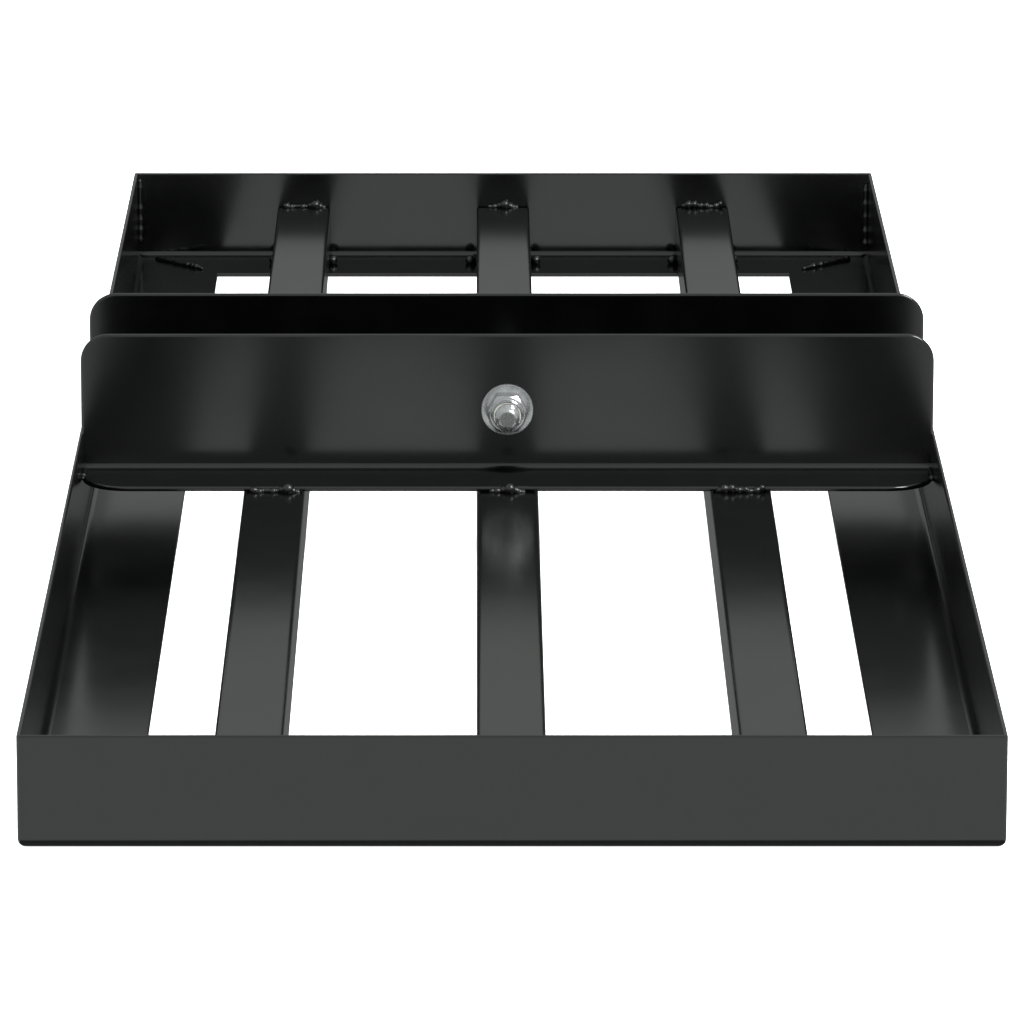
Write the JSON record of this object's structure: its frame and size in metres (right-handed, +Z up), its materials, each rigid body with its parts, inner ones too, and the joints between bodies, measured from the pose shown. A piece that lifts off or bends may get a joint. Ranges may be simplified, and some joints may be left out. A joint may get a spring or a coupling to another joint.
{
  "type": "welded tray frame",
  "caption": "Welded tray frame of black bent steel angle with lengthwise box bars and an upright cross bracket whose facing plates are joined by a long flange bolt and lock nut.",
  "frame": {"origin": "on the ground, under the middle of the frame's bounding box", "axes": "+Y along the frame's length, from the nut's side (front) to the bolt head's side (rear); +X to its right; +Z up"},
  "size_m": [0.42, 1.2, 0.1004],
  "materials": {
    "black_paint": "gloss black powder coat",
    "weld_paint": "gloss black powder coat over lumpy weld beads",
    "zinc_bolt": "bright zinc plate",
    "zinc_nut": "bright zinc plate",
    "nylon": "natural nylon"
  },
  "bodies": {
    "frame": {"front_angle": "black_paint", "rear_angle": "black_paint", "left_side_angle": "black_paint", "right_side_angle": "black_paint", "left_bar": "black_paint", "centre_bar": "black_paint", "right_bar": "black_paint", "front_cross_angle": "black_paint", "rear_cross_angle": "black_paint", "front_left_corner_weld": "weld_paint", "front_right_corner_weld": "weld_paint", "front_weld_of_left_bar": "weld_paint", "front_weld_of_centre_bar": "weld_paint", "front_weld_of_right_bar": "weld_paint", "front_cross_weld_on_left_bar": "weld_paint", "front_cross_weld_on_centre_bar": "weld_paint", "front_cross_weld_on_right_bar": "weld_paint", "front_cross_left_end_weld": "weld_paint", "front_cross_right_end_weld": "weld_paint", "rear_left_corner_weld": "weld_paint", "rear_right_corner_weld": "weld_paint", "rear_weld_of_left_bar": "weld_paint", "rear_weld_of_centre_bar": "weld_paint", "rear_weld_of_right_bar": "weld_paint", "rear_cross_weld_on_left_bar": "weld_paint", "rear_cross_weld_on_centre_bar": "weld_paint", "rear_cross_weld_on_right_bar": "weld_paint", "rear_cross_left_end_weld": "weld_paint", "rear_cross_right_end_weld": "weld_paint"},
    "nut_ring": {"nylon_insert": "nylon"},
    "nut": {"lock_nut": "zinc_nut"},
    "bolt": {"through_bolt": "zinc_bolt"}
  },
  "joints": [
    {"name": "nut_travel", "type": "slide", "parent": "frame", "child": "nut_ring", "axis": [0, -1, 0], "range_m": [0, 0.0245]},
    {"name": "nut_turn", "type": "hinge", "parent": "nut_ring", "child": "nut", "pos_m": [0, -0.048, 0.063], "axis": [0, -1, 0], "range_deg": [0, 5040]},
    {"name": "bolt_slide", "type": "slide", "parent": "frame", "child": "bolt", "axis": [0, 1, 0], "range_m": [0, 0.125]}
  ],
  "couplings": [
    {"joint": "nut_travel", "follows": "nut_turn", "m_per_rad": 0.0002785}
  ]
}
